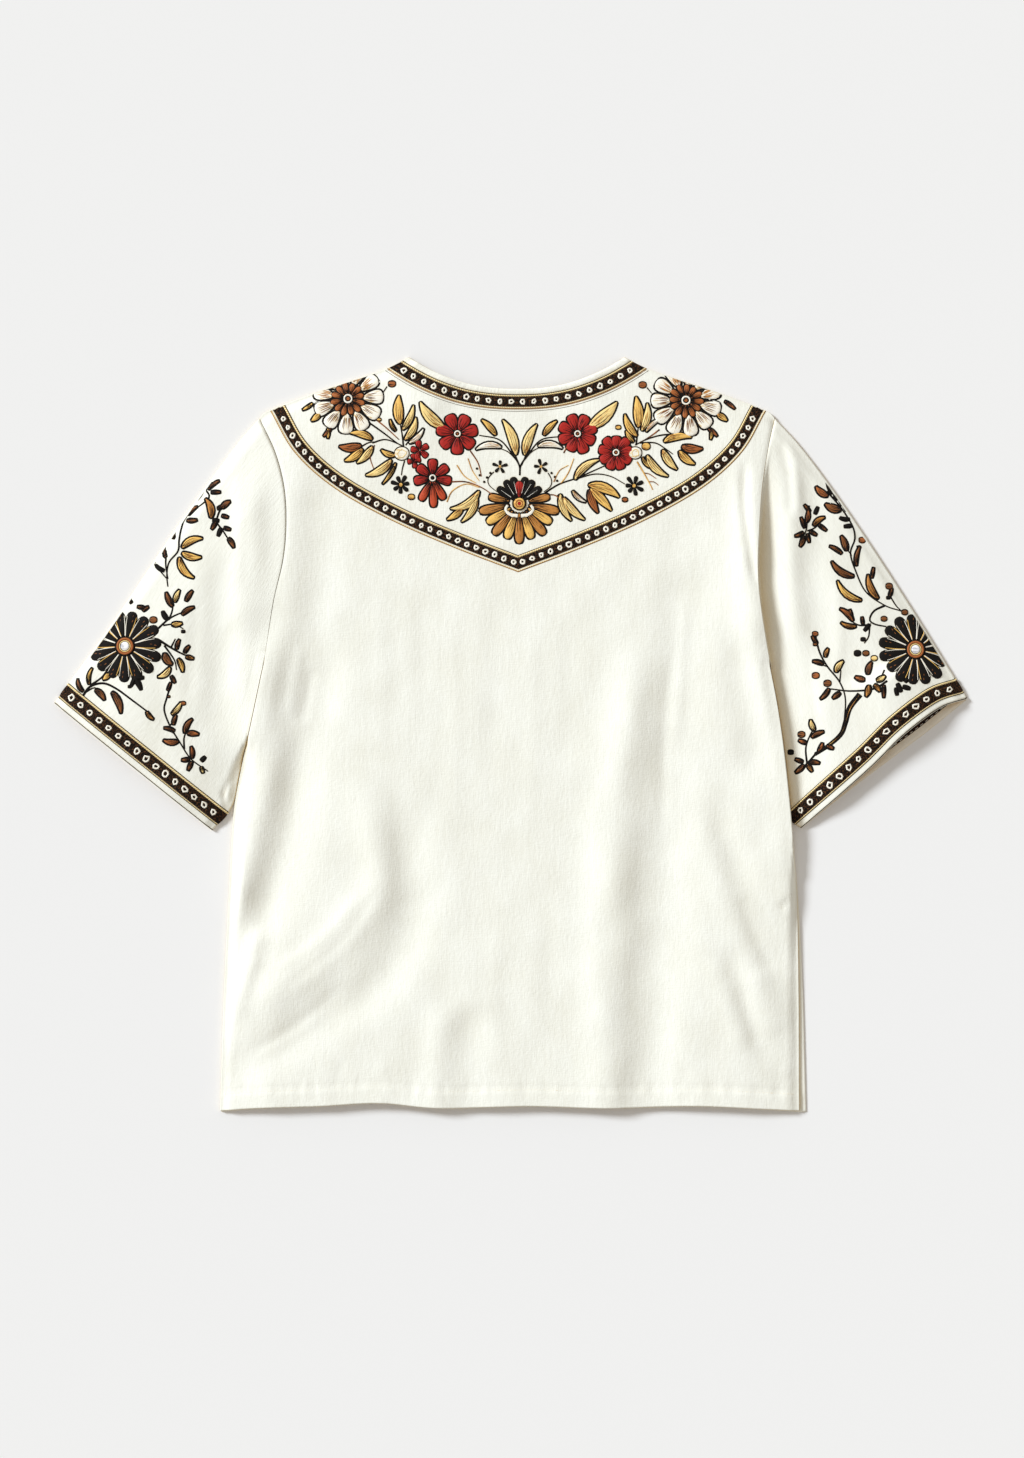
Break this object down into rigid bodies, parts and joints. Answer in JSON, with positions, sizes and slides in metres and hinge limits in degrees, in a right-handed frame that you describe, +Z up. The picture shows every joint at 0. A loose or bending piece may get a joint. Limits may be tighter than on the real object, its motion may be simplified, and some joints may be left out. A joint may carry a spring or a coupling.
{
  "type": "v-neck blouse",
  "caption": "Boxy blouse with elbow-length sleeves, laid flat with its back up: round back neck, V neck in front, trim along neck, yoke and cuffs.",
  "frame": {"origin": "on the surface it lies on, under the middle of its width and length", "axes": "+X from cuff to cuff, to the right as the back is seen with the neck at the top; +Y from the hem towards the neck; +Z up, out of the back"},
  "size_m": [0.8232, 0.6802, 0.0167],
  "materials": {
    "cream_cloth": "matte plain weave",
    "cream_band": "matte plain weave",
    "black_ribbon": "woven ribbon with a slight sheen"
  },
  "bodies": {
    "root": {"back": "cream_cloth", "front": "cream_cloth", "sleeve_left": "cream_cloth", "sleeve_right": "cream_cloth", "back_neckband": "cream_band", "front_neckband_left": "cream_band", "front_neckband_right": "cream_band", "back_neck_trim": "black_ribbon", "yoke_trim": "black_ribbon", "cuff_trim_left": "black_ribbon", "cuff_trim_right": "black_ribbon"}
  },
  "joints": []
}
